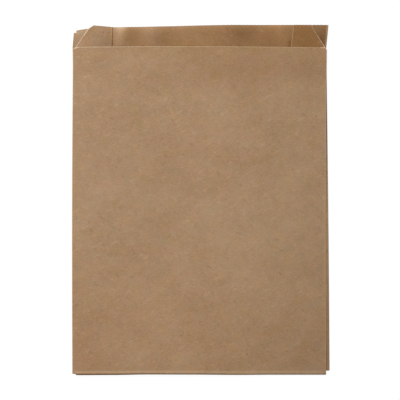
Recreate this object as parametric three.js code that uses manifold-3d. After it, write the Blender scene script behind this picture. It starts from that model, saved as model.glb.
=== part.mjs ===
// A flat kraft paper bag with side gussets, lying on its back panel.
// It is one sheet: folded into a tube, lapped and glued down the back, cut in a step at the mouth,
// and closed at the bottom by a flap of the front panel that turns under and is glued to the back.
// Millimetres. +X runs across the bag, +Y towards the mouth, +Z up out of the front panel.
// The origin is the middle of the bag's width and length, on the surface it lies on.
import * as THREE from "three";
import { ParametricGeometry } from "three/addons/geometries/ParametricGeometry.js";
import { mergeGeometries, mergeVertices } from "three/addons/utils/BufferGeometryUtils.js";
import Module from "manifold-3d";

const wasm = await Module();
wasm.setup();

const { lerp, clamp, smoothstep } = THREE.MathUtils;

// Driving dimensions of the sheet, its folds and its cuts
const bagWidth = 250; // front panel, side fold to side fold
const frontHeight = 321.5; // front panel, bottom crease to mouth edge
const lipHeight = 22.1; // back panel beyond the front's mouth edge
const leftGusset = 38.4; // left side fold to its gusset's inner fold
const rightGusset = 35.2; // and at the right
const leftSlantStart = 2.8; // slanted cut that steps the left gusset up to the lip, in from the side fold
const leftSlantRun = 14.5; // its width
const rightSlantStart = 1.3; // the same at the right
const rightSlantRun = 15.6;
const flapDepth = 18; // bottom flap, crease to cut edge
const flapInset = 3.5; // ends of the flap, in from the side folds
const flapTaper = 7; // how much further in the ends of its cut edge are
const seamInset = 10; // outer edge of the glued back seam, in from the left side fold
const seamLap = 14; // overlap of that seam
const paper = 0.13; // thickness of the sheet
const glueLine = 0.05; // thickness of a glued joint
const glueMargin = 2; // bare paper round a glued joint
const glueBite = 0.05; // how deep the glue soaks into each face
const layerPitch = 0.7; // spacing of the loose layers at the side folds

// How this bag lies, off the true rectangle
const mouthPress = 0.65; // share of the layer spacing that is left at the pressed mouth
const panelSag = 0.45; // share of it that the front panel loses midway between the gussets
const frontDrift = -0.8; // sideways drift of the front panel, mouth to bottom
const frontBow = -0.6; // sideways bow of its edges at mid length
const backOffset = -0.45; // sideways offset of the back panel at the mouth
const backDrift = 3.35; // its drift, mouth to bottom
const backBow = 0.5; // bow of its edges at mid length
const leftFlare = 1.45; // drift of the lip's left corner to the right
const rightFlare = 2.15; // and of its right corner
const gussetDrift = 0.7; // further drift of the right gusset's front half
const innerDrift = 1.3; // and of its inner fold
const backEndLeft = 0.8; // lower cut of the back panel above the crease, at the left
const backEndRight = 3.1; // and at the right
const edgeBow = 0.95; // rise of the front's mouth edge at mid width
const mouthSlope = 0.45; // how much lower that edge runs at the right than at the left
const lipFall = 2.3; // how much lower the lip's edge runs towards the left
const cornerFall = 3.3; // further fall of its left corner
const cornerNick = 3; // depth of the nick torn out of that corner
const nickWidth = 2.7; // its width, in from the fold
const nickSlope = 0.5; // run of its slanted side
const flapRise = 2; // how far the left gusset's cut stands above the lip behind it
const lipRise = 0.9; // lift of the lip's left part
const waveHeight = 2.6; // height of the lip's waves
const waveStart = 6; // how far under the front panel they begin
const waveEnd = 3.5; // how far below the lip's cut they are at their full height
const droopDepth = 1.5; // droop of that cut
const droopRun = 7; // how far in from its cut the lip droops
const liftRun = 60; // length over which the bag lifts and closes up towards the mouth
const settleRun = 14; // length over which the back panel comes down off the flap

// Waves of the lip and the droop of its cut edge: a share of the half width, then one of the full height
const waveShares = [
  [-1, 0.15],
  [-0.68, 0.45],
  [-0.6, 1],
  [-0.46, 0.75],
  [-0.35, 1],
  [-0.2, 0.6],
  [0.2, 0.85],
  [0.46, 0.15],
  [0.64, 0.4],
  [0.74, 0.2],
  [1, 0.15],
];
const droopShares = [
  [-1, 0.2],
  [-0.7, 0.4],
  [-0.64, 1],
  [-0.56, 0.45],
  [0.36, 0.35],
  [0.6, 0.6],
  [0.72, 0.15],
  [1, 0.15],
];

// Facets along the bag, round a fold and across each kind of strip
const rowSlices = 15;
const crowdingShare = 0.7; // 0 spaces the rows evenly, nearer 1 crowds them at the bottom and the mouth
const foldSlices = 5;
const panelSlices = 13;
const backSlices = 24;
const gussetSlices = 5;
const stripSlices = 3;
const edgeSlices = 1;

// Levels of the layers' middles, from the surface up
const flapLevel = paper / 2;
const backLevel = flapLevel + paper + glueLine;
const lapLevel = backLevel + paper + glueLine;
const gussetBackLevel = lapLevel + layerPitch;
const gussetFrontLevel = gussetBackLevel + layerPitch;
const frontLevel = gussetFrontLevel + layerPitch;
const gluedTop = lapLevel + paper / 2; // below this the layers are glued and keep their spacing

// Radii of the folds
const loose = layerPitch / 2;
const wide = (gussetBackLevel - backLevel) / 2;
const creaseRadius = (frontLevel - flapLevel) / 2;

// Places across and along the bag
const halfWidth = bagWidth / 2;
const creaseY = -(frontHeight + lipHeight) / 2;
const mouthY = creaseY + frontHeight;
const lipY = mouthY + lipHeight;
const flapEndY = creaseY + flapDepth;
const foldX = halfWidth - loose; // where a flat panel runs into its side fold
const leftInnerX = -halfWidth + leftGusset;
const rightInnerX = halfWidth - rightGusset;
const leftBendX = leftInnerX - loose; // where the left gusset runs into its inner fold
const rightBendX = rightInnerX + loose;
const leftStepX = -halfWidth + leftSlantStart; // foot of the left slanted cut
const leftTipX = leftStepX + leftSlantRun; // and its top
const rightStepX = halfWidth - rightSlantStart;
const rightTipX = rightStepX - rightSlantRun;
const flapX = halfWidth - flapInset;
const seamX = -halfWidth + seamInset;
const lapX = seamX + seamLap;
const nickX = -halfWidth + nickWidth;
const nickFootX = nickX - nickSlope;

// A smooth curve through a short list of shares, at a place across the bag
function along(points, x) {
  const place = clamp(x / halfWidth, -1, 1);
  const next = Math.max(1, points.findIndex(([end]) => place <= end));
  const [start, low] = points[next - 1];
  const [end, high] = points[next];
  return lerp(low, high, smoothstep(place, start, end));
}

// The cuts that bound the sheet: a place along the bag for each place across it
const mouthCut = (x) => mouthY - mouthSlope * (x / bagWidth);
const frontCut = (x) => mouthCut(x) + edgeBow * (1 - clamp(Math.abs(x) / foldX, 0, 1) ** 2);
const lipDrop = (x) => lipFall * (1 - smoothstep(x, leftInnerX, rightInnerX / 2));
const cornerDrop = (x) => cornerFall * clamp((leftInnerX - x) / (leftGusset - nickWidth), 0, 1) ** 2;
const nickDrop = (x) => cornerNick * clamp((nickX - x) / nickSlope, 0, 1);
const backCut = (x) => lipY - lipDrop(x) - cornerDrop(x) - nickDrop(x);
const leftStand = (x) => flapRise * clamp((leftInnerX - x) / (leftInnerX - leftTipX), 0, 1);
const leftGussetCut = (x) => lipY - lipFall + leftStand(x);
const leftSlant = (x) => lerp(mouthCut(x), leftGussetCut(x), (x - leftStepX) / leftSlantRun);
const rightGussetCut = () => lipY;
const rightSlant = (x) => lerp(mouthCut(x), lipY, (rightStepX - x) / rightSlantRun);
const backEnd = (x) => creaseY + lerp(backEndLeft, backEndRight, (x + halfWidth) / bagWidth);
const frontEnd = () => creaseY;

// How far a layer goes along with the back panel: none of the way in the front panel, half way at a
// gusset's inner fold and all the way in the back.
function backShare(x, z) {
  const gusset = x < 0 ? leftGusset : rightGusset;
  const inward = clamp((halfWidth - Math.abs(x)) / gusset, 0, 1) / 2;
  const inFront = inward * (1 - smoothstep(z, gussetFrontLevel, frontLevel));
  const inGusset = lerp(1 - inward, inFront, smoothstep(z, gussetBackLevel, gussetFrontLevel));
  return lerp(1, inGusset, smoothstep(z, lapLevel, gussetBackLevel));
}

// How high the layers lie above their glued stack, as a share of their true spacing
function spacingAt(x, y) {
  const pressed = smoothstep(y, mouthY - liftRun, mouthY);
  const clearOfCrease = smoothstep(y, creaseY, creaseY + liftRun);
  const middle = Math.min(x - leftInnerX, rightInnerX - x);
  const sag = panelSag * clearOfCrease * smoothstep(middle, 0, rightInnerX);
  return lerp(1, mouthPress, pressed) * (1 - sag);
}

function lipLift(x, y) {
  const rise = lipRise * smoothstep(-x, -halfWidth, -leftInnerX) * smoothstep(y, mouthY - liftRun, lipY);
  const wave = waveHeight * along(waveShares, x) * smoothstep(y, mouthY - waveStart, lipY - waveEnd);
  const droop = droopDepth * along(droopShares, x) * clamp((y - lipY + droopRun) / droopRun, 0, 1) ** 2;
  return Math.max(0, rise + wave - droop);
}

// Carries a point of the true, flat-folded bag to where it lies in this one.
function settle(point) {
  const { x, y, z } = point;
  const down = clamp((mouthY - y) / frontHeight, 0, 1);
  const up = clamp((y - mouthY) / lipHeight, 0, 1);
  const bow = Math.sin(Math.PI * down);
  const flare = up * (leftFlare * smoothstep(-x, 0, halfWidth) + rightFlare * smoothstep(x, 0, halfWidth));
  const frontShift = frontDrift * down + frontBow * bow;
  const backShift = backOffset + backDrift * down + backBow * bow + flare;
  const inGussetFront = smoothstep(z, gussetBackLevel, gussetFrontLevel);
  const inGusset = smoothstep(z, lapLevel, gussetBackLevel);
  const atRight = smoothstep(x, 0, rightInnerX);
  const inward = clamp((halfWidth - x) / rightGusset, 0, 1);
  const drift = up * atRight * (gussetDrift * inGussetFront + innerDrift * inGusset * inward);
  const drop = (paper + glueLine) * smoothstep(y, flapEndY, flapEndY + settleRun);
  const glued = Math.min(z, gluedTop);

  point.x += lerp(frontShift, backShift, backShare(x, z)) + drift;
  point.z = glued + (z - glued) * spacingAt(x, y) + lipLift(x, y) - drop;
}

// Rows crowd towards the bottom and the mouth, where the sheet bends.
const rowAt = (v) => v - (crowdingShare * Math.sin(2 * Math.PI * v)) / (2 * Math.PI);

// A strip of sheet: a line or an arc of the folded section, run from its lower cut to its upper cut.
function strip(curve, slices, lowerCut, upperCut) {
  const place = (u, v, target) => {
    const { x, y: z } = curve.getPoint(u);
    settle(target.set(x, lerp(lowerCut(x, u), upperCut(x, u), rowAt(v)), z));
  };
  return new ParametricGeometry(place, slices, rowSlices);
}

function level(fromX, toX, z) {
  return new THREE.LineCurve(new THREE.Vector2(fromX, z), new THREE.Vector2(toX, z));
}

// Half a turn from one level to another about a middle at x, bulging towards +X or -X.
function turn(x, bulge, fromLevel, toLevel) {
  const middle = (fromLevel + toLevel) / 2;
  const radius = Math.abs(toLevel - fromLevel) / 2;
  const start = (Math.sign(fromLevel - toLevel) * Math.PI) / 2;
  const clockwise = bulge > 0 === fromLevel > toLevel;
  return new THREE.EllipseCurve(x, middle, radius, radius, start, -start, clockwise);
}

// The tube, strip by strip round the girth, from the seam's inner lap to its outer edge.
function tubeStrips() {
  const leftEnd = (x, u) => lerp(backEnd(x), creaseY, u);
  const rightEnd = (x, u) => lerp(creaseY, backEnd(x), u);
  const leftBendCut = (x, u) => lerp(backCut(x), leftGussetCut(x), u);
  const wideFoldX = halfWidth - wide;
  return [
    strip(level(lapX, seamX, lapLevel), stripSlices, backEnd, backCut),
    strip(level(seamX, nickX, lapLevel), stripSlices, backEnd, backCut),
    strip(level(nickX, nickFootX, lapLevel), edgeSlices, backEnd, backCut),
    strip(level(nickFootX, -foldX, lapLevel), edgeSlices, backEnd, backCut),
    strip(turn(-foldX, -1, lapLevel, gussetBackLevel), foldSlices, backEnd, backCut),
    strip(level(-foldX, nickFootX, gussetBackLevel), edgeSlices, backEnd, backCut),
    strip(level(nickFootX, nickX, gussetBackLevel), edgeSlices, backEnd, backCut),
    strip(level(nickX, leftBendX, gussetBackLevel), gussetSlices, backEnd, backCut),
    strip(turn(leftBendX, 1, gussetBackLevel, gussetFrontLevel), foldSlices, leftEnd, leftBendCut),
    strip(level(leftBendX, leftTipX, gussetFrontLevel), stripSlices, frontEnd, leftGussetCut),
    strip(level(leftTipX, leftStepX, gussetFrontLevel), stripSlices, frontEnd, leftSlant),
    strip(level(leftStepX, -foldX, gussetFrontLevel), edgeSlices, frontEnd, mouthCut),
    strip(turn(-foldX, -1, gussetFrontLevel, frontLevel), foldSlices, frontEnd, frontCut),
    strip(level(-foldX, -flapX, frontLevel), edgeSlices, frontEnd, frontCut),
    strip(level(-flapX, flapX, frontLevel), panelSlices, frontEnd, frontCut),
    strip(level(flapX, foldX, frontLevel), edgeSlices, frontEnd, frontCut),
    strip(turn(foldX, 1, frontLevel, gussetFrontLevel), foldSlices, frontEnd, frontCut),
    strip(level(foldX, rightStepX, gussetFrontLevel), edgeSlices, frontEnd, mouthCut),
    strip(level(rightStepX, rightTipX, gussetFrontLevel), stripSlices, frontEnd, rightSlant),
    strip(level(rightTipX, rightBendX, gussetFrontLevel), stripSlices, frontEnd, rightGussetCut),
    strip(turn(rightBendX, -1, gussetFrontLevel, gussetBackLevel), foldSlices, rightEnd, backCut),
    strip(level(rightBendX, wideFoldX, gussetBackLevel), gussetSlices, backEnd, backCut),
    strip(turn(wideFoldX, 1, gussetBackLevel, backLevel), foldSlices, backEnd, backCut),
    strip(level(wideFoldX, lapX, backLevel), backSlices, backEnd, backCut),
    strip(level(lapX, seamX, backLevel), stripSlices, backEnd, backCut),
  ];
}

// The bottom of the front panel, turned under at the crease, and the flap that follows it.
function flapStrips() {
  const crease = (u, v, target) => {
    const angle = lerp(-Math.PI / 2, Math.PI / 2, v);
    const y = creaseY - creaseRadius * Math.cos(angle);
    settle(target.set(lerp(-flapX, flapX, u), y, flapLevel + creaseRadius * (1 + Math.sin(angle))));
  };
  const flap = (u, v, target) => {
    const endX = flapX - flapTaper * (1 - v);
    settle(target.set(lerp(-endX, endX, u), lerp(flapEndY, creaseY, v), flapLevel));
  };
  return [
    new ParametricGeometry(crease, panelSlices, foldSlices),
    new ParametricGeometry(flap, panelSlices, stripSlices),
  ];
}

// Gives a surface its thickness, half to each side, and closes it along its cut edges.
function thicken(strips, thickness) {
  for (const part of strips) {
    part.deleteAttribute("normal");
    part.deleteAttribute("uv");
  }
  const surface = mergeVertices(mergeGeometries(strips));
  surface.computeVertexNormals();
  const { position, normal } = surface.attributes;
  const count = position.count;
  const corner = new THREE.Vector3();
  const outward = new THREE.Vector3();
  const corners = [];
  for (const side of [1, -1]) {
    for (let i = 0; i < count; i++) {
      outward.fromBufferAttribute(normal, i).multiplyScalar((side * thickness) / 2);
      corner.fromBufferAttribute(position, i).add(outward);
      corners.push(corner.x, corner.y, corner.z);
    }
  }
  const faces = [];
  const edges = new Map();
  const index = surface.index.array;
  for (let i = 0; i < index.length; i += 3) {
    const [a, b, c] = index.slice(i, i + 3);
    faces.push(a, b, c, count + c, count + b, count + a);
    for (const [from, to] of [[a, b], [b, c], [c, a]]) {
      edges.set(`${from} ${to}`, [from, to]);
    }
  }
  for (const [from, to] of edges.values()) {
    if (!edges.has(`${to} ${from}`)) {
      faces.push(to, from, count + from, to, count + from, count + to);
    }
  }
  const vertProperties = new Float32Array(corners);
  const triVerts = new Uint32Array(faces);
  return new wasm.Manifold(new wasm.Mesh({ numProp: 3, vertProperties, triVerts }));
}

// The glue between two layers, soaked a little way into both.
function glueStrip(fromX, toX, lowerLevel, upperLevel, slices, lowerCut, upperCut) {
  const curve = level(fromX + glueMargin, toX - glueMargin, (lowerLevel + upperLevel) / 2);
  const lower = (x) => lowerCut(x) + glueMargin;
  const upper = (x) => upperCut(x) - glueMargin;
  return thicken([strip(curve, slices, lower, upper)], glueLine + 2 * glueBite);
}

function bagGeometry() {
  const sheet = thicken([...tubeStrips(), ...flapStrips()], paper);
  const seamGlue = glueStrip(seamX, lapX, backLevel, lapLevel, stripSlices, backEnd, backCut);
  const flapCut = () => flapEndY;
  const flapGlue = glueStrip(seamX, flapX - flapTaper, flapLevel, backLevel, panelSlices, backEnd, flapCut);
  const { vertProperties, triVerts } = sheet.add(seamGlue).add(flapGlue).getMesh();
  const geometry = new THREE.BufferGeometry();
  geometry.setAttribute("position", new THREE.BufferAttribute(vertProperties, 3));
  geometry.setIndex(new THREE.BufferAttribute(triVerts, 1));
  geometry.computeVertexNormals();
  return geometry;
}

const kraft = new THREE.MeshStandardMaterial({ color: 0xa68668, roughness: 0.9, metalness: 0 });

const bag = new THREE.Mesh(bagGeometry(), kraft);
bag.name = "paper_bag";

const model = new THREE.Group();
model.add(bag);

export default model;
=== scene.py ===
import bpy
import math
import numpy
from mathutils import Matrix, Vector, noise


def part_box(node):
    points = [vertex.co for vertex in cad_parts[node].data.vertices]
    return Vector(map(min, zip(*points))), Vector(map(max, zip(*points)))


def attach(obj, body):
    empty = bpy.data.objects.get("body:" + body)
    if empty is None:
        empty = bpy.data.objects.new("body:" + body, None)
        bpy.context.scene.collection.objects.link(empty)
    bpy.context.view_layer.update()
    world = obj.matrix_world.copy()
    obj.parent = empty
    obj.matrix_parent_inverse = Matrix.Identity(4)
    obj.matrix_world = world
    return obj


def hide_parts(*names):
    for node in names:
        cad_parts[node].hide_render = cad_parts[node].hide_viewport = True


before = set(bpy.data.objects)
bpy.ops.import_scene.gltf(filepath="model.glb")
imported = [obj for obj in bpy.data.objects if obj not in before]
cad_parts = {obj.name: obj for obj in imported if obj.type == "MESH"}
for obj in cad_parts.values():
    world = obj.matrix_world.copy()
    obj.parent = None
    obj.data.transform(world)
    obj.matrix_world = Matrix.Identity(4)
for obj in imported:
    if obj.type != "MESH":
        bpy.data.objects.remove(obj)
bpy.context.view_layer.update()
mm = 0.001


# small helpers for smooth shapes

def mix(a, b, share):
    return a + (b - a) * share


def clamp(value):
    return max(0.0, min(1.0, value))


def ease(start, end, value):  # 0 before start, 1 after end, smooth between, either way round
    share = clamp((value - start) / (end - start))
    return share * share * (3 - 2 * share)


def along(points, place):  # smooth curve through a short list of places and heights in mm
    for (x0, y0), (x1, y1) in zip(points, points[1:]):
        if place / mm <= x1:
            return mix(y0, y1, ease(x0, x1, place / mm)) * mm
    return points[-1][1] * mm


# the bag, one sheet of kraft paper

bag = {
    "width": 250 * mm,  # front panel, side fold to side fold
    "lipHeight": 22.1 * mm,  # back panel beyond the front's mouth edge
    "gussetDepth": (38.4 * mm, 35.2 * mm),  # side fold to a gusset's inner fold, left and right
    "slantStart": (2.8 * mm, 1.3 * mm),  # slanted cuts at the mouth, in from the side folds
    "slantRun": (14.5 * mm, 15.6 * mm),  # and their width
    "tipClip": (2.6 * mm, 3.8 * mm),  # flatter end of the left one, how far in and how far down
    "flapDepth": 18 * mm,  # bottom flap, crease to cut edge
    "flapInset": 3.5 * mm,  # its ends, in from the side folds
    "flapTaper": 7 * mm,  # how much further in the ends of its cut edge are
    "seamInset": 10 * mm,  # outer edge of the back seam, in from the left fold
    "seamLap": 14 * mm,
    "backEnd": (0.8 * mm, 3.1 * mm),  # lower cut of the back above the crease, left and right
    "nick": (2.3 * mm, 3 * mm),  # width and depth of the nick at the lip's left corner
    "paper": 0.13 * mm,
    "glueLine": 0.05 * mm,
    "layerPitch": 0.7 * mm,  # loose layers at the side folds
    "tooth": 3.8 * mm,  # pitch of the fine serrated cut, and width of the mesh faces
    "toothDepth": 0.2 * mm,
    "row": 3 * mm,  # height of the mesh faces
    "band": 0.7 * mm,  # narrow faces beside each fold and cut
    "edgeBands": 6,  # more of them on the right gusset's back half, where it shows beside the front
    "foldSteps": 6,  # faces round a fold
    "rubbed": (0.5 * mm, 1.2 * mm, 2.3 * mm, 3.4 * mm),  # worn above the crease: starts, full, fades, ends
    "sharpEdge": 35,  # degrees past which an edge is shaded sharp
}

# levels of the layers, from the floor up
flapLevel = bag["paper"] / 2
backLevel = flapLevel + bag["paper"] + bag["glueLine"]
lapLevel = backLevel + bag["paper"] + bag["glueLine"]
gussetBackLevel = lapLevel + bag["layerPitch"]
gussetFrontLevel = gussetBackLevel + bag["layerPitch"]
frontLevel = gussetFrontLevel + bag["layerPitch"]

# fold radii and places
looseRadius = bag["layerPitch"] / 2
wideRadius = (gussetBackLevel - backLevel) / 2
creaseRadius = (frontLevel - flapLevel) / 2
bagLow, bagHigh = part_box("paper_bag")
lipY = bagHigh[1]
mouthY = lipY - bag["lipHeight"]
creaseY = bagLow[1] + creaseRadius
frontHeight = mouthY - creaseY
halfWidth = bag["width"] / 2
foldX = halfWidth - looseRadius
leftInnerX, rightInnerX = (halfWidth - depth for depth in bag["gussetDepth"])  # both from the middle
flapX = halfWidth - bag["flapInset"]
lapX = bag["seamInset"] + bag["seamLap"] - halfWidth


def foldStep(radius):  # face width that makes a fold of this radius
    return 2 * radius * math.tan(math.pi / (2 * (bag["foldSteps"] + 1)))


def foldArc(radius):  # width of paper that the fold takes
    return foldStep(radius) * bag["foldSteps"]


# widths of the flat strips between the folds
looseArc = foldArc(looseRadius)
leftGusset, rightGusset = (depth - 2 * looseRadius for depth in bag["gussetDepth"])
rightGussetWide = rightGusset + looseRadius - wideRadius
lapFlat = bag["seamInset"] + bag["seamLap"] - looseRadius
backFlat = bag["width"] - bag["seamInset"] - wideRadius

# girth, the distance from the middle of the front panel, at which each fold starts and the sheet ends
frontFold = foldX
leftInnerFold = frontFold + looseArc + leftGusset
rightInnerFold = frontFold + looseArc + rightGusset
leftBackFold = leftInnerFold + looseArc + leftGusset
rightBackFold = rightInnerFold + looseArc + rightGussetWide
leftEnd = leftBackFold + looseArc + lapFlat
rightEnd = rightBackFold + foldArc(wideRadius) + backFlat

# side folds in the order they are made: side, girth, radius, 1 to fold under or -1 back, name of their wear
sideFolds = [
    (1, frontFold, looseRadius, 1, "rightFold"),
    (1, rightInnerFold, looseRadius, -1, "innerFold"),
    (1, rightBackFold, wideRadius, 1, "backFold"),
    (-1, frontFold, looseRadius, 1, "leftFold"),
    (-1, leftInnerFold, looseRadius, -1, "innerFold"),
    (-1, leftBackFold, looseRadius, 1, "backFold"),
]


def flatStrip(width):  # face widths across a flat strip, with a narrow band at each side
    inside = width - 2 * bag["band"]
    count = max(1, round(inside / bag["tooth"]))
    return [bag["band"]] + [inside / count] * count + [bag["band"]]


def foldStrip(radius):
    return [foldStep(radius)] * bag["foldSteps"]


def readAll(items, name, size=1):  # one value or point of every vertex, edge or face, as an array
    values = numpy.empty(len(items) * size)
    items.foreach_get(name, values)
    return values.reshape(-1, size) if size > 1 else values


def editOnly(sheet, items, wanted):  # edit mode, with only these vertices, edges or polygons selected
    kinds = ("vertices", "edges", "polygons")
    bpy.context.tool_settings.mesh_select_mode = [items == kind for kind in kinds]
    getattr(sheet.data, items).foreach_set("select", wanted)
    bpy.ops.object.mode_set(mode="EDIT")


def leaveEdit():  # with nothing left selected for the next step
    bpy.ops.mesh.select_all(action="DESELECT")
    bpy.ops.object.mode_set(mode="OBJECT")


def startSheet():  # the front panel between the flap's ends, up to the lip
    bpy.ops.object.select_all(action="DESELECT")
    height = lipY - creaseY
    middle = (0, (lipY + creaseY) / 2, frontLevel)
    columns = round(2 * flapX / bag["tooth"])
    rows = round(height / bag["row"])
    bpy.ops.mesh.primitive_grid_add(x_subdivisions=columns, y_subdivisions=rows, size=1, location=middle)
    sheet = bpy.context.object
    sheet.name = "paperBag"
    bpy.ops.object.mode_set(mode="EDIT")
    bpy.ops.transform.resize(value=(2 * flapX, height, 1), center_override=middle)
    leaveEdit()
    bpy.ops.object.transform_apply(location=True, rotation=True, scale=True)
    return sheet


def growSide(sheet, side, widths):  # the sheet goes on, strip by strip, from its outermost column
    reach = side * readAll(sheet.data.vertices, "co", 3)[:, 0]
    editOnly(sheet, "vertices", reach > reach.max() - bag["band"] / 2)
    bpy.ops.mesh.select_mode(type="EDGE")
    for width in widths:
        bpy.ops.mesh.extrude_region_move(TRANSFORM_OT_translate={"value": (side * width, 0, 0)})
    leaveEdit()


def growFlap(sheet):  # down from the front panel's lower edge, tapering to its cut
    place = readAll(sheet.data.vertices, "co", 3)
    onCrease = abs(place[:, 1] - creaseY) < bag["band"] / 2
    editOnly(sheet, "vertices", onCrease & (abs(place[:, 0]) < flapX + bag["band"] / 2))
    bpy.ops.mesh.select_mode(type="EDGE")
    reach = flapX
    for width in foldStrip(creaseRadius):
        bpy.ops.mesh.extrude_region_move(TRANSFORM_OT_translate={"value": (0, -width, 0)})
    for width in flatStrip(bag["flapDepth"]):
        bpy.ops.mesh.extrude_region_move(TRANSFORM_OT_translate={"value": (0, -width, 0)})
        narrower = reach - bag["flapTaper"] * width / bag["flapDepth"]
        bpy.ops.transform.resize(value=(narrower / reach, 1, 1), center_override=(0, creaseY, frontLevel))
        reach = narrower
    leaveEdit()


def splitSheet(sheet, zone, place, direction):  # a line of new edges across some faces
    centre = readAll(sheet.data.polygons, "center", 3)
    editOnly(sheet, "polygons", zone(centre[:, 0], centre[:, 1]))
    bpy.ops.mesh.bisect(plane_co=place, plane_no=direction)
    leaveEdit()


def cutAway(sheet, start, end):  # removes what lies to the left of this line, along its length
    low, high = sorted((start[0], end[0]))
    line = Vector((end[0] - start[0], end[1] - start[1], 0)).normalized()
    outward = Vector((-line.y, line.x, 0))
    place = Vector((*start, frontLevel))
    reach = 2 * bag["lipHeight"]

    def nearby(x, y):
        return abs(y - start[1]) < reach

    def zone(x, y):
        return (x > low) & (x < high) & nearby(x, y)

    for girth in (low, high):
        splitSheet(sheet, nearby, (girth, 0, 0), (1, 0, 0))
    splitSheet(sheet, zone, place, outward)
    centre = readAll(sheet.data.polygons, "center", 3)
    beyond = (centre - numpy.array(place)) @ numpy.array(outward) > 0
    editOnly(sheet, "polygons", zone(centre[:, 0], centre[:, 1]) & beyond)
    bpy.ops.mesh.delete(type="FACE")
    leaveEdit()
    splitSheet(sheet, zone, place - outward * bag["band"], outward)


def cutSheet(sheet):
    side = frontFold + looseArc - looseRadius  # girth at which a flat gusset would reach the bag's side
    leftFoot, rightFoot = (side + start for start in bag["slantStart"])
    leftRun, rightRun = bag["slantRun"]
    leftTop = leftFoot + leftRun
    rightTop = rightFoot + rightRun
    clipRun, clipDrop = bag["tipClip"]
    clipStart = leftTop - leftRun * clipDrop / bag["lipHeight"]
    nickWidth, nickDepth = bag["nick"]
    nickStart = leftBackFold - nickWidth + looseRadius
    nickEnd = leftBackFold + looseArc + nickWidth - looseRadius
    nickY = lipY - nickDepth
    leftLow, rightLow = (creaseY + end for end in bag["backEnd"])
    leftMid = leftInnerFold + looseArc / 2
    rightMid = rightInnerFold + looseArc / 2
    cutAway(sheet, (-leftFoot, mouthY), (rightFoot, mouthY))  # front panel's mouth edge
    cutAway(sheet, (-leftTop, lipY), (-leftFoot, mouthY))  # slanted cuts
    cutAway(sheet, (rightFoot, mouthY), (rightTop, lipY))
    cutAway(sheet, (-leftTop - clipRun, lipY), (-clipStart, lipY - clipDrop))  # end of the left one
    cutAway(sheet, (-nickEnd, nickY), (-nickStart, nickY))
    cutAway(sheet, (-leftMid, leftLow), (-leftEnd, leftLow))  # lower end of the back and its gusset halves
    cutAway(sheet, (rightBackFold, rightLow), (rightMid, rightLow))
    cutAway(sheet, (rightEnd, leftLow), (rightBackFold, rightLow))

    def aboveCrease(x, y):
        return abs(y - creaseY) < 2 * bag["row"]

    for rise in bag["rubbed"]:
        splitSheet(sheet, aboveCrease, (0, creaseY + rise, 0), (0, 1, 0))


def serrate(sheet):  # fine teeth along the front's mouth edge and the lip
    mesh = sheet.data
    place = readAll(mesh.vertices, "co", 3)
    ends = readAll(mesh.edges, "vertices", 2).astype(int)
    first, second = place[ends[:, 0]], place[ends[:, 1]]
    slack = bag["band"] / 4
    onCut = numpy.zeros(len(mesh.edges), dtype=bool)
    for cutY, reach in ((lipY, numpy.inf), (mouthY, foldX)):
        atCut = (abs(first[:, 1] - cutY) < slack) & (abs(second[:, 1] - cutY) < slack)
        onCut |= atCut & (abs(first[:, 0]) < reach)
    isWide = abs(first[:, 0] - second[:, 0]) > bag["tooth"] / 2
    count = len(mesh.vertices)
    editOnly(sheet, "edges", onCut & isWide)
    bpy.ops.mesh.subdivide(number_cuts=1)
    leaveEdit()
    editOnly(sheet, "vertices", numpy.arange(len(mesh.vertices)) >= count)
    bpy.ops.transform.translate(value=(0, bag["toothDepth"], 0))
    leaveEdit()


def refineLip(sheet):  # smaller faces where the sheet waves most
    mesh = sheet.data
    corners = readAll(mesh.polygons, "loop_total")
    centre = readAll(mesh.polygons, "center", 3)
    editOnly(sheet, "polygons", (corners == 4) & (centre[:, 1] > mouthY - bag["row"]))
    bpy.ops.mesh.subdivide(number_cuts=1)
    leaveEdit()


def markSheet(sheet):  # the flat sheet's own coordinates stay with it when it is folded
    mesh = sheet.data
    girth = mesh.attributes.new("girth", "FLOAT", "POINT")
    height = mesh.attributes.new("height", "FLOAT", "POINT")
    for vert in mesh.vertices:
        girth.data[vert.index].value = vert.co.x
        height.data[vert.index].value = vert.co.y
    flat = mesh.uv_layers.active
    flat.name = "flatSheet"
    for loop in mesh.loops:
        flat.data[loop.index].uv = mesh.vertices[loop.vertex_index].co.xy


def flatPlace(sheet, name):  # girth or height of every vertex
    return readAll(sheet.data.attributes[name].data, "value")


def bend(sheet, reach, start, radius, axis, angle):  # rolls what reaches past start round a fold
    step = foldStep(radius)
    for count in range(bag["foldSteps"] + 1):
        line = start + count * step
        hinge = sheet.data.vertices[int(abs(reach - line).argmin())].co.copy()
        editOnly(sheet, "vertices", reach > line + step / 4)
        bpy.ops.transform.rotate(value=angle / (bag["foldSteps"] + 1), orient_axis=axis,
                                 orient_type="GLOBAL", center_override=hinge)
        leaveEdit()


sheet = startSheet()
besideFlap = [foldX - flapX - bag["band"], bag["band"]]
shownEdge = [bag["band"]] * bag["edgeBands"]
rightStrips = besideFlap + foldStrip(looseRadius) + flatStrip(rightGusset) + foldStrip(looseRadius)
rightStrips += flatStrip(rightGussetWide - sum(shownEdge)) + shownEdge
rightStrips += foldStrip(wideRadius) + flatStrip(backFlat)
leftStrips = besideFlap + foldStrip(looseRadius) + flatStrip(leftGusset) + foldStrip(looseRadius)
leftStrips += flatStrip(leftGusset) + foldStrip(looseRadius) + flatStrip(lapFlat)
growSide(sheet, 1, rightStrips)
growSide(sheet, -1, leftStrips)
growFlap(sheet)
cutSheet(sheet)
serrate(sheet)
refineLip(sheet)
markSheet(sheet)
flatArea = readAll(sheet.data.polygons, "area").sum()  # what the cuts leave of the sheet
print("sheet cut,", len(sheet.data.polygons), "faces")

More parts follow.
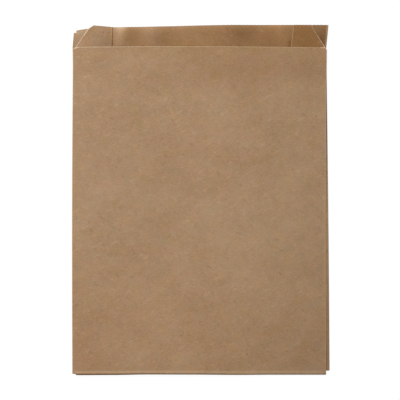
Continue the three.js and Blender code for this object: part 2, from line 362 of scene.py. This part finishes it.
for side, start, radius, turn, _ in sideFolds:
    bend(sheet, side * flatPlace(sheet, "girth"), start, radius, "Y", -side * turn * math.pi)
bend(sheet, -flatPlace(sheet, "height"), -creaseY, creaseRadius, "X", -math.pi)  # bottom flap
print("sheet folded")


# how this bag lies, off the true rectangle

lie = {
    "mouthPress": 0.65,  # share of the layer spacing left at the pressed mouth
    "gussetPress": (0.4, 0.2),  # the same beside the left gusset, at the mouth and higher up the lip
    "pressRun": 0.8,  # share of the lip's height between those two
    "panelSag": 0.45,  # share of the spacing lost midway between the gussets
    "sidePress": 0.42,  # share of it left along the right folds
    "frontDrift": -0.65 * mm,  # sideways drift of the front panel, mouth to bottom
    "frontBow": -0.6 * mm,
    "creaseLine": [(-118, -0.3), (-88, -0.15), (-52, 0.35), (-10, 0.25),
                   (38, -0.1), (70, 0.1), (120, 0.05)],  # across, up, in mm
    "cornerLift": 0.4 * mm,  # the front's bottom corners end this much above the crease
    "backOffset": -0.45 * mm,  # sideways offset of the back panel at the mouth
    "backDrift": 3.25 * mm,  # its drift, mouth to bottom
    "backBow": 0.4 * mm,
    "lipFlare": (1.45 * mm, 2.15 * mm),  # how far the lip's left and right corners drift to the right
    "gussetDrift": 0.7 * mm,  # further drift of the right gusset's front half
    "innerDrift": 1.3 * mm,  # and of its inner fold
    "edgeBow": 0.95 * mm,  # rise of the front's mouth edge at mid width
    "mouthSlope": 0.45 * mm,  # how much lower that edge runs at the right than at the left
    "cornerDip": (1.9 * mm, 2 * mm),  # fall of that edge at the side folds, left and right
    "dipRun": (5 * mm, 1.6 * mm),  # and its width
    "lipFall": 2.3 * mm,  # how much lower the lip's edge runs towards the left
    "cornerFall": 3.3 * mm,  # further fall of its left corner
    "gussetRise": (0.2 * mm, 2 * mm),  # left gusset's cut above the lip, at its inner fold and its tip
    "lipRise": 0.9 * mm,  # lift of the lip's left part
    "liftRun": 60 * mm,  # how far below the mouth the lift and the press start
    "settleRun": 14 * mm,  # length over which the back comes down off the flap and the seam
    "unevenness": 0.25 * mm,  # slow waves of the front panel
    "waveLength": 70 * mm,
    "lipWave": [(-125, 0.4), (-85, 1.2), (-74, 2.6), (-58, 2), (-44, 2.6), (-24, 1.6), (24, 2.2),
                (57, 0.4), (80, 1.1), (92, 0.5), (125, 0.4)],  # across, lift, in mm
    "waveRun": 6 * mm,  # how far under the front panel the lip's waves reach
    "lipDroop": [(-125, 0.3), (-88, 0.6), (-80, 1.5), (-70, 0.7), (45, 0.5), (75, 0.9), (90, 0.2)],
    "droopRun": 7 * mm,  # how far in from its cut the lip droops
}


def downShare(y):  # 0 at the front's mouth edge, 1 at the crease
    return clamp((mouthY - y) / frontHeight)


def upShare(y):  # 0 at the front's mouth edge, 1 at the lip's cut
    return clamp((y - mouthY) / bag["lipHeight"])


def mouthShare(y):  # 0 well below the mouth, 1 from its edge up
    return ease(mouthY - lie["liftRun"], mouthY, y)


def isUpper(z):  # front panel and the gussets' front halves
    return z > (gussetBackLevel + gussetFrontLevel) / 2


def backShare(x, z):  # 0 in the front panel, half at a gusset's inner fold, 1 in the back
    depth = bag["gussetDepth"][0 if x < 0 else 1]
    inward = clamp((halfWidth - abs(x)) / depth) / 2
    inFront = inward * (1 - ease(gussetFrontLevel, frontLevel, z))
    inGusset = mix(1 - inward, inFront, ease(gussetBackLevel, gussetFrontLevel, z))
    return mix(1, inGusset, ease(lapLevel, gussetBackLevel, z))


def lipCut(x, z):  # how much the lip, or the left gusset before it, is cut short
    slope = lie["lipFall"] * (1 - ease(-leftInnerX, rightInnerX / 2, x))
    pastFold = -leftInnerX - x
    depth = bag["gussetDepth"][0]
    if isUpper(z):
        topWidth = depth - bag["slantStart"][0] - bag["slantRun"][0]
        return slope - mix(*lie["gussetRise"], clamp(pastFold / topWidth)) * ease(0, leftInnerX, -x)
    return slope + lie["cornerFall"] * clamp(pastFold / (depth - bag["nick"][0])) ** 2


def lipLift(x, y):
    wave = lie["lipRise"] * ease(-halfWidth, leftInnerX, -x) * ease(mouthY - lie["liftRun"], lipY, y)
    wave += along(lie["lipWave"], x) * ease(mouthY - lie["waveRun"], lipY - lie["droopRun"] / 2, y)
    droop = along(lie["lipDroop"], x) * clamp((y - lipY + lie["droopRun"]) / lie["droopRun"]) ** 2
    return max(0, wave - droop)


def layerSpacing(x, y):  # as a share of the true spacing
    middle = min(x + leftInnerX, rightInnerX - x)
    sag = lie["panelSag"] * ease(creaseY, creaseY + lie["liftRun"], y) * ease(0, rightInnerX, middle)
    leftPress = mix(*lie["gussetPress"], ease(0, lie["pressRun"], upShare(y)))
    press = mix(lie["mouthPress"], leftPress, ease(0, leftInnerX, -x))
    side = mix(1, lie["sidePress"], ease(0, halfWidth, x))
    return mix(side, press, mouthShare(y)) * (1 - sag)


def settleAcross(x, y, z):
    down = downShare(y)
    up = upShare(y)
    bow = math.sin(math.pi * down)
    leftFlare, rightFlare = lie["lipFlare"]
    frontShift = lie["frontDrift"] * down + lie["frontBow"] * bow
    backShift = lie["backOffset"] + lie["backDrift"] * down + lie["backBow"] * bow
    backShift += up * (leftFlare * ease(0, halfWidth, -x) + rightFlare * ease(0, halfWidth, x))
    newX = x + mix(frontShift, backShift, backShare(x, z))
    atRight = ease(0, rightInnerX, x)
    if z > (lapLevel + gussetBackLevel) / 2:  # all but the back panel
        newX += lie["innerDrift"] * up * atRight * clamp((halfWidth - x) / bag["gussetDepth"][1])
    if isUpper(z):
        newX += lie["gussetDrift"] * up * atRight
    return newX


def settleAlong(x, y, z):
    up = upShare(y)
    newY = y - lipCut(x, z) * up
    if isUpper(z):
        pressed = mouthShare(y)
        side = 0 if x < 0 else 1
        dip, run = lie["cornerDip"][side], lie["dipRun"][side]
        nearFront = ease(gussetFrontLevel, frontLevel, z)
        nearCrease = ease(creaseY + bag["row"], creaseY, y)
        newY -= lie["mouthSlope"] * x / bag["width"] * pressed * (1 - up)
        newY += lie["edgeBow"] * (1 - clamp(abs(x) / foldX) ** 2) * pressed * nearFront
        newY -= dip * clamp((abs(x) - foldX + run) / run) ** 2 * pressed
        newY += lie["cornerLift"] * ease(flapX, foldX, abs(x)) * nearCrease
    return newY + along(lie["creaseLine"], x) * ease(creaseY + bag["flapDepth"], creaseY, y)


def settleUp(x, y, z):
    drop = (bag["paper"] + bag["glueLine"]) * ease(0, lie["settleRun"], y - creaseY - bag["flapDepth"])
    gluedTop = mix(lapLevel, backLevel, ease(lapX, lapX + lie["settleRun"], x)) + bag["paper"] / 2
    glued = min(z, gluedTop)
    loose = clamp((z - glued) / (frontLevel - glued))
    ripple = noise.noise(Vector((x, y, 0)) / lie["waveLength"]) * lie["unevenness"] * loose
    return glued + (z - glued) * layerSpacing(x, y) + lipLift(x, y) - drop + ripple


def settleSheet(sheet):  # from the true, flat-folded bag to this one
    for vert in sheet.data.vertices:
        x, y, z = vert.co
        vert.co = settleAcross(x, y, z), settleAlong(x, y, z), settleUp(x, y, z)
    sheet.data.update()


settleSheet(sheet)
print("sheet settled")


# kraft paper: cloudy fibre, a few dark specks, paler where it is cut or worn, with painted light and shade

kraft = {
    "outside": (0.38, 0.239, 0.131, 1),
    "inside": (0.31, 0.16, 0.065, 1),
    "cut": (0.92, 0.72, 0.5, 1),
    "wornAndLit": (0.56, 0.4, 0.26, 1),
    "speck": (0.1, 0.05, 0.025, 1),
    "palePlain": 0.3,  # how pale the cuts are: seam and lower ends
    "paleMouth": (0.5, 0.65),  # front's mouth edge, valleys and tips of its teeth: pale cut fibre and painted light on the lit edge
    "mouthFade": (1, 0.4),  # share of that at its left and right ends, painted brighter at the left, nearer the light
    "paleLip": (0, 0.1),  # lip, valleys and tips
    "paleSlant": (0.85, 1.4),  # slanted cuts, left and right, past 1 for a wider pale line: pale cut fibre, widened and brightened as a painted highlight
    # fold wear; on the right fold it is also painted light on a roll that faces away from the lamp
    "wearAndLight": {"crease": (0.85, 0.5), "rightFold": 1, "leftFold": 0.4, "innerFold": 0.35, "backFold": 0.25},
    "rubbing": (2, 0.6),  # how the mottle breaks up that wear: contrast and level
    # patterns: how many a metre, detail, contrast, length across the bag, shift in metres
    "zones": (9, 2, 0.32, 1, 0),
    "clouds": (45, 3, 0.26, 1.5, 0),
    "mottle": (150, 3, 0.2, 1, 0),
    "fibre": (700, 3, 0.4, 1.8, 0),
    "redness": (100, 4, 0.2, 1, 3),
    "blueness": (85, 4, 0.35, 1, 7),
    "lean": 0.35,  # of all these, in radians
    "strands": (330, 1, 3, 0.62, 0.74),  # single fibres: how many a metre, detail, length, start, peak
    "paleStrands": (0.11, 0.5, 1),  # contrast, lean, shift
    "darkStrands": (-0.085, -0.5, 5),
    "greyer": (1, 1.25, 1.7),  # what a lighter spot does to red, green and blue
    "specks": (60, 0.86, 0.027),  # cells a metre, tone past which a cell holds one, size in cells
    "paintedShadeFrom": -0.2,  # painted light and shade, and tone, stay off paper that faces further down
    "roughness": 0.66,
    "specular": 0.25,
    "bump": (0.25, 0.05 * mm),  # strength and depth of mottle and fibre
}


def markCutsAndEdgeLight(sheet):  # how pale each cut edge of the sheet is, with painted light along the mouth edge and the slanted cuts
    mesh = sheet.data
    editOnly(sheet, "vertices", numpy.zeros(len(mesh.vertices), dtype=bool))
    bpy.ops.mesh.select_non_manifold(extend=False, use_wire=False, use_boundary=True,
                                     use_multi_face=False, use_non_contiguous=False, use_verts=False)
    bpy.ops.object.mode_set(mode="OBJECT")
    onCut = readAll(mesh.vertices, "select")
    girth = flatPlace(sheet, "girth")
    height = flatPlace(sheet, "height")
    slack = bag["toothDepth"] / 4
    pale = onCut * kraft["palePlain"]
    inGussets = (abs(girth) > flapX) & (girth > -leftInnerFold) & (girth < rightInnerFold)
    onSlant = inGussets & (height > mouthY - slack) & (height < lipY - slack)
    pale[onSlant] = numpy.where(girth < 0, *kraft["paleSlant"])[onSlant]
    for cutY, reach, shares in ((mouthY, flapX, "paleMouth"), (lipY, numpy.inf, "paleLip")):
        onTeeth = (abs(girth) < reach) & (height > cutY - slack)
        valley, tip = kraft[shares]
        pale[onTeeth] = numpy.where(height > cutY + slack, tip, valley)[onTeeth]
    onMouth = (abs(girth) < flapX) & (height > mouthY - slack)
    pale[onMouth] *= numpy.interp(girth, (-flapX, flapX), kraft["mouthFade"])[onMouth]
    mesh.attributes.new("paleCutAndEdgeLight", "FLOAT", "POINT").data.foreach_set("value", pale * onCut)


def markFoldWearAndLight(sheet):  # how worn the paper is along every fold, with painted light on the right fold's roll
    girth = flatPlace(sheet, "girth")
    slack = bag["band"] / 4
    wearAndLight = kraft["wearAndLight"]
    wornAndLit = numpy.interp(flatPlace(sheet, "height") - creaseY, bag["rubbed"], (0, 1, 1, 0))
    wornAndLit *= numpy.interp(girth, (-flapX, flapX), wearAndLight["crease"])
    wornAndLit[abs(girth) > flapX + slack] = 0
    for side, start, radius, _, name in sideFolds:
        reach = side * girth
        wornAndLit[(reach > start - slack) & (reach < start + foldArc(radius) + slack)] = wearAndLight[name]
    sheet.data.attributes.new("foldWearAndLight", "FLOAT", "POINT").data.foreach_set("value", wornAndLit)


def addNode(tree, kind, inputs=(), **settings):
    node = tree.nodes.new(kind)
    for name, value in settings.items():
        setattr(node, name, value)
    for socket, value in dict(inputs).items():
        if isinstance(value, bpy.types.NodeSocket):
            tree.links.new(value, node.inputs[socket])
        else:
            node.inputs[socket].default_value = value
    return node


def mathNode(tree, operation, *values):
    return addNode(tree, "ShaderNodeMath", enumerate(values), operation=operation).outputs[0]


def blend(tree, factor, first, second, kind="MIX"):  # 6, 7 and 2 are the mix node's colour sockets
    colours = {0: factor, 6: first, 7: second}
    node = addNode(tree, "ShaderNodeMix", colours, data_type="RGBA", blend_type=kind)
    return node.outputs[2]


def ramp(tree, value, start, end, low, high):  # low up to start, high from end on
    steps = {"Value": value, "From Min": start, "From Max": end, "To Min": low, "To Max": high}
    return addNode(tree, "ShaderNodeMapRange", steps).outputs[0]


def attribute(tree, name, output="Fac"):
    return addNode(tree, "ShaderNodeAttribute", attribute_name=name).outputs[output]


def grain(tree, place, count, detail, length, lean, shift):  # noise, longer one way and leaning
    moved = addNode(tree, "ShaderNodeMapping", {
        "Vector": place,
        "Location": (shift, shift, 0),
        "Rotation": (0, 0, lean),
        "Scale": (length, 1, 1),
    }, vector_type="TEXTURE").outputs[0]
    spots = addNode(tree, "ShaderNodeTexNoise", {"Vector": moved, "Scale": count, "Detail": detail})
    return spots.outputs[0]


def patches(tree, place, name):  # noise around 0, as strong as its contrast says
    count, detail, contrast, length, shift = kraft[name]
    spots = grain(tree, place, count, detail, length, kraft["lean"], shift)
    return mathNode(tree, "MULTIPLY_ADD", spots, contrast, -contrast / 2)


def strands(tree, place, name):  # sparse single fibres, paler or darker than the paper
    count, detail, length, start, peak = kraft["strands"]
    contrast, lean, shift = kraft[name]
    spots = grain(tree, place, count, detail, length, lean, shift)
    return ramp(tree, spots, start, peak, 0, contrast)


def paperTint(tree, place, relief):  # all patterns together, around 1 in each colour
    broad = mathNode(tree, "ADD", patches(tree, place, "zones"), patches(tree, place, "clouds"))
    single = mathNode(tree, "ADD", strands(tree, place, "paleStrands"), strands(tree, place, "darkStrands"))
    light = mathNode(tree, "ADD", mathNode(tree, "ADD", relief, broad), single)
    red, green, blue = (mathNode(tree, "MULTIPLY_ADD", light, share, 1) for share in kraft["greyer"])
    red = mathNode(tree, "ADD", red, patches(tree, place, "redness"))
    blue = mathNode(tree, "ADD", blue, patches(tree, place, "blueness"))
    return addNode(tree, "ShaderNodeCombineColor", {"Red": red, "Green": green, "Blue": blue}).outputs[0]


def speckMask(tree, place):  # 1 on a speck, in the middle of the few cells that hold one
    cells, tone, size = kraft["specks"]
    dots = addNode(tree, "ShaderNodeTexVoronoi", {"Vector": place, "Scale": cells}, voronoi_dimensions="2D")
    near = mathNode(tree, "LESS_THAN", dots.outputs["Distance"], size)
    holds = mathNode(tree, "GREATER_THAN", dots.outputs["Color"], tone)
    return mathNode(tree, "MULTIPLY", near, holds)


def kraftMaterial(name, colour):
    material = bpy.data.materials.new(name)
    material.use_nodes = True
    tree = material.node_tree
    shader = tree.nodes["Principled BSDF"]
    place = addNode(tree, "ShaderNodeUVMap", uv_map="flatSheet").outputs[0]
    mottle = patches(tree, place, "mottle")
    relief = mathNode(tree, "ADD", mottle, patches(tree, place, "fibre"))
    paint = blend(tree, 1, paperTint(tree, place, relief), colour, "MULTIPLY")
    paint = blend(tree, speckMask(tree, place), paint, kraft["speck"])
    rubbed = mathNode(tree, "MULTIPLY_ADD", mottle, *kraft["rubbing"])
    wornAndLit = mathNode(tree, "MULTIPLY", attribute(tree, "foldWearAndLight"), rubbed)
    paint = blend(tree, wornAndLit, paint, kraft["wornAndLit"])
    paint = blend(tree, attribute(tree, "paleCutAndEdgeLight"), paint, kraft["cut"])
    # painted light and shade, and tone, from the vertex colour
    paint = blend(tree, 1, paint, attribute(tree, "paintedShadeTint", "Color"), "MULTIPLY")
    tree.links.new(paint, shader.inputs["Base Color"])
    shader.inputs["Roughness"].default_value = kraft["roughness"]
    shader.inputs["Specular IOR Level"].default_value = kraft["specular"]
    strength, depth = kraft["bump"]
    bump = addNode(tree, "ShaderNodeBump", {"Strength": strength, "Distance": depth, "Height": relief})
    tree.links.new(bump.outputs[0], shader.inputs["Normal"])
    return material


# painted light and shade, and some soft changes of tone: across and up in mm, reach each way, what it does
# to red, green and blue

shadeAndTonePatches = {
    "front": [
        (55, 130, 95, 18, (0.835, 0.77, 0.695)),  # painted shade below the mouth
        (10, 149, 95, 7, (1.01, 0.975, 0.88)),  # along the mouth edge
        (-105, 40, 35, 70, (0.955, 0.945, 0.955)),  # left side
        (0, 45, 55, 50, (1.04, 1.03, 1.04)),  # middle
        (-35, -90, 70, 50, (1.035, 1.025, 1.025)),
        (110, -165, 55, 45, (0.9, 0.89, 0.89)),  # lower right corner
        (126, -50, 28, 150, (0.945, 0.94, 0.945)),  # right side
        (-40, -140, 200, 60, (1, 0.965, 0.94)),  # towards the bottom
        (-115, -155, 25, 30, (1, 0.95, 0.95)),  # lower left corner
        (-90, -172.4, 60, 1, (0.56, 0.42, 0.22)),  # painted shade on the roll under the crease
        (124.5, -60, 1, 130, (1.3, 1.28, 1.25)),  # painted light on the right fold's roll
        (-124.5, 149.3, 3, 1.5, (1.5, 1.55, 1.6)),  # painted highlight at the left corner of the mouth edge
    ],
    "gussets": [
        (-100, 160, 17, 22, (1.1, 1.33, 1.75)),  # painted light on the left one, lighter and greyer
        (-112, 156, 8, 14, (1.08, 1.08, 1.12)),  # painted light along its slanted cut
        (-119, 151.5, 6, 6, (1.25, 1.42, 1.75)),  # painted light at the foot of it
        # painted shade beside the mouth edge
        (-96, 152, 9, 9, (0.88, 0.9, 0.95)),
        (-86.6, 165, 1, 14, (1.25, 1.2, 1.15)),  # painted light on the left inner fold
        (104, 160, 20, 25, (0.8, 0.745, 0.6)),  # painted shade on the right one
    ],
    "back": [
        (-80, 163, 7, 16, (1.2, 1.42, 1.85)),  # painted light and shade of the lip's bands, left to right
        (-80, 171, 6, 5, (1.16, 1.16, 1.18)),
        (-50, 163, 9, 14, (1.1, 1.18, 1.42)),
        (-20, 160, 70, 30, (1.01, 1.06, 1.12)),
        (0, 156, 22, 8, (1.08, 1.09, 1.1)),
        (45, 160, 14, 18, (0.85, 0.84, 0.82)),
        (67, 155, 8, 14, (0.85, 0.83, 0.78)),
        # painted shadow beside the right inner fold
        (89, 152, 2.2, 8, (0.6, 0.53, 0.4)),
        (-124.4, 157, 0.9, 7, (0.85, 0.78, 0.7)),  # left and right folds at the lip
        (124.5, 157.5, 2.5, 10, (0.8, 0.75, 0.63)),
        (124.4, -130, 0.9, 190, (1.45, 1.4, 1.24)),  # strip beside the front's right fold: painted light in the front's shadow, then painted shade further out
        (126, -130, 1.2, 110, (0.64, 0.55, 0.5)),
    ],
    "corner": [
        (118, 160, 30, 40, (0.62, 0.5, 0.37)),  # painted shade behind the right slanted cut
        # painted shadow along the cut
        (119.5, 157, 3, 7, (0.65, 0.57, 0.48)),
    ],
}


def paintShadeAndTones(sheet):  # painted light, shade and tone on the paper that faces up or outwards, so the underside stays plain
    mesh = sheet.data
    place = readAll(mesh.vertices, "co", 3) / mm
    facesUp = readAll(mesh.vertex_normals, "vector", 3)[:, 2] > kraft["paintedShadeFrom"]
    girth = flatPlace(sheet, "girth")
    inFront = abs(girth) < frontFold + looseArc / 2
    inGussets = ~inFront & (girth > -leftInnerFold - looseArc / 2) & (girth < rightInnerFold + looseArc / 2)
    inBack = ~inFront & ~inGussets
    inCorner = inBack & (girth > 0) & (girth < rightBackFold - 2 * bag["band"])  # right gusset's back half
    groups = {"front": inFront, "gussets": inGussets, "back": inBack, "corner": inCorner}
    paintedShadeTint = numpy.ones((len(girth), 4))
    for name, chosen in groups.items():
        for x, y, across, up, colour in shadeAndTonePatches[name]:
            far = ((place[:, 0] - x) / across) ** 2 + ((place[:, 1] - y) / up) ** 2
            share = numpy.exp(-far) * (chosen & facesUp)
            paintedShadeTint[:, :3] *= 1 + numpy.outer(share, numpy.array(colour) - 1)
    mesh.attributes.new("paintedShadeTint", "FLOAT_COLOR", "POINT").data.foreach_set("color", paintedShadeTint.ravel())


def giveThickness(sheet):
    bpy.ops.object.select_all(action="DESELECT")
    sheet.select_set(True)
    bpy.context.view_layer.objects.active = sheet
    bpy.ops.object.modifier_add(type="SOLIDIFY")
    wall = sheet.modifiers[-1]
    wall.thickness = bag["paper"]
    wall.offset = 0
    wall.material_offset = 1  # from the outside's slot to the inside's
    wall.material_offset_rim = 2  # and to the cut edges'
    bpy.ops.object.modifier_apply(modifier=wall.name)
    bpy.ops.object.shade_smooth_by_angle(angle=math.radians(bag["sharpEdge"]))


markCutsAndEdgeLight(sheet)
markFoldWearAndLight(sheet)
for name in ("outside", "inside", "cut"):
    sheet.data.materials.append(kraftMaterial("kraft" + name.capitalize(), kraft[name]))
giveThickness(sheet)
paintShadeAndTones(sheet)
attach(sheet, "root")
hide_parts("paper_bag")
print("bag done,", len(sheet.data.polygons), "faces")


# floor, light and camera

studio = {
    "pixel": 0.9844 * mm,  # size of a picture point on the bag
    "pictureSize": 400,  # in points
    "aim": (0.1 * mm, -0.6 * mm),  # place on the bag at the middle of the picture
    "lens": 200,
    "sensor": 36,
    "keyPlace": (-1.65, 1.4, 1.2),  # window light, in metres
    "keySize": 1.2,
    "keyPower": 83,
    "skyLight": 0.3,  # what the room lights the bag with, while it looks white
    "floorSize": 12,
    "floorColour": (0.1, 0.1, 0.1, 1),
    "floorGlow": 0.93,  # only to the eye, so the floor looks pale and keeps the shadow
}


def seenDirectly(tree):  # 1 for what the camera sees, also in gloss and through clear things
    path = addNode(tree, "ShaderNodeLightPath")
    seen = mathNode(tree, "MAXIMUM", path.outputs["Is Camera Ray"], path.outputs["Is Glossy Ray"])
    return mathNode(tree, "MAXIMUM", seen, path.outputs["Is Transmission Ray"])


def makeFloor():
    bpy.ops.mesh.primitive_plane_add(size=studio["floorSize"], location=(0, 0, 0))
    floor = bpy.context.object
    floor.name = "floor"
    material = bpy.data.materials.new("paleFloor")
    material.use_nodes = True
    tree = material.node_tree
    shader = tree.nodes["Principled BSDF"]
    shader.inputs["Base Color"].default_value = studio["floorColour"]
    shader.inputs["Roughness"].default_value = 1
    shader.inputs["Specular IOR Level"].default_value = 0
    shader.inputs["Emission Color"].default_value = (1, 1, 1, 1)
    glow = mathNode(tree, "MULTIPLY", seenDirectly(tree), studio["floorGlow"])
    tree.links.new(glow, shader.inputs["Emission Strength"])
    floor.data.materials.append(material)


def makeLight():
    bpy.ops.object.light_add(type="AREA", location=studio["keyPlace"])
    key = bpy.context.object
    key.name = "windowLight"
    key.data.size = studio["keySize"]
    key.data.energy = studio["keyPower"]
    key.rotation_euler = (-Vector(studio["keyPlace"])).to_track_quat("-Z", "Y").to_euler()
    world = bpy.data.worlds.new("paleRoom")
    bpy.context.scene.world = world
    world.use_nodes = True
    tree = world.node_tree
    sky = tree.nodes["Background"]
    sky.inputs["Color"].default_value = (1, 1, 1, 1)
    strength = ramp(tree, seenDirectly(tree), 0, 1, studio["skyLight"], 1)
    tree.links.new(strength, sky.inputs["Strength"])


def makeCamera():
    distance = studio["pixel"] * studio["pictureSize"] * studio["lens"] / studio["sensor"]
    bpy.ops.object.camera_add(location=(*studio["aim"], frontLevel + distance), rotation=(0, 0, 0))
    camera = bpy.context.object
    camera.data.lens = studio["lens"]
    camera.data.sensor_width = studio["sensor"]
    bpy.context.scene.camera = camera


makeFloor()
makeLight()
makeCamera()
bpy.context.scene.view_settings.view_transform = "Standard"
print("studio ready")
